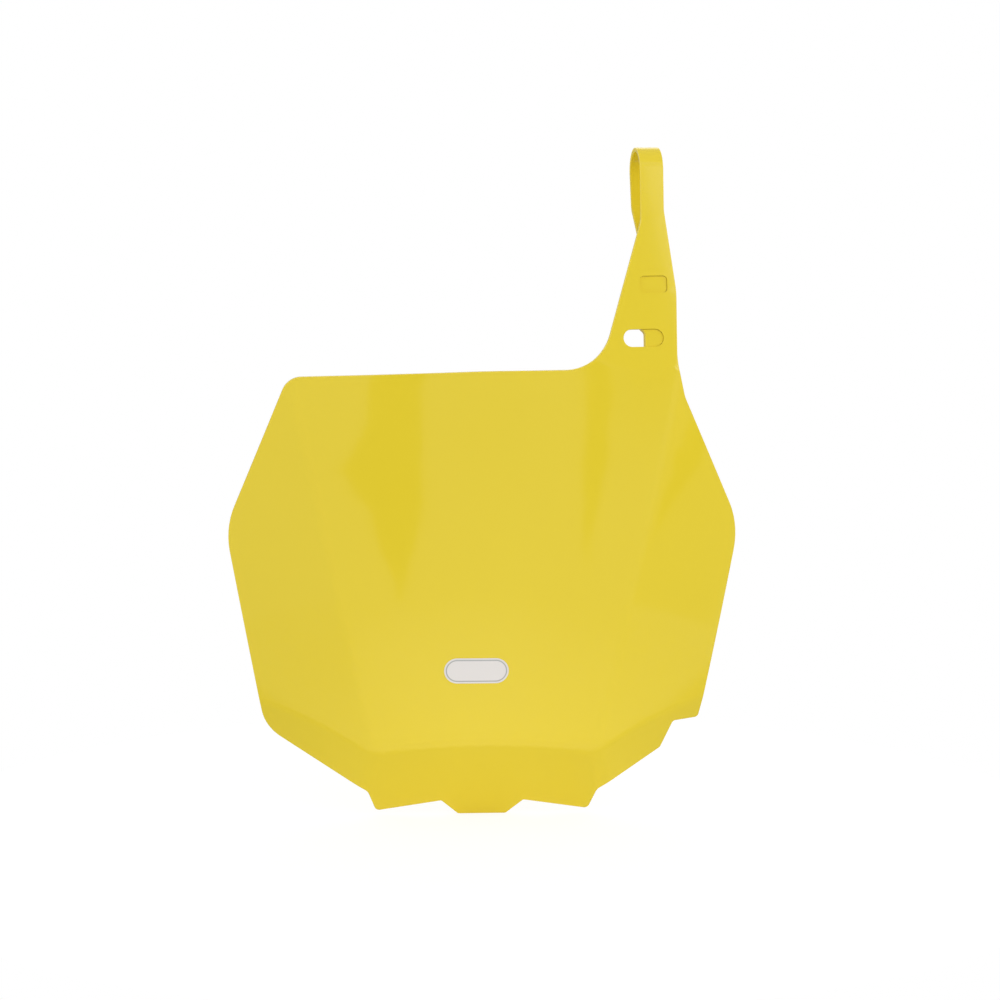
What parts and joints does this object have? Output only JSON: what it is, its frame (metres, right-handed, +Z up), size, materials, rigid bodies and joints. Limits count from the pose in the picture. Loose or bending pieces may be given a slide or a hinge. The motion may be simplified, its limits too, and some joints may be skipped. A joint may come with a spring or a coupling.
{
  "type": "racing number board",
  "caption": "Glossy one-piece moulded front board for a race number, with swept-back wings, a lower panel with tabs, and a strap that loops over a handlebar.",
  "frame": {"origin": "middle of the strap's loop, on the axis of the bar that it goes over", "axes": "+Z up as worn, +X to the right of someone facing the board, +Y from its front to its back"},
  "size_m": [0.2537, 0.0527, 0.3385],
  "materials": {
    "yellow_plastic": "glossy",
    "label_film": "satin"
  },
  "bodies": {
    "root": {"number_board": "yellow_plastic", "blank_label": "label_film"}
  },
  "joints": []
}
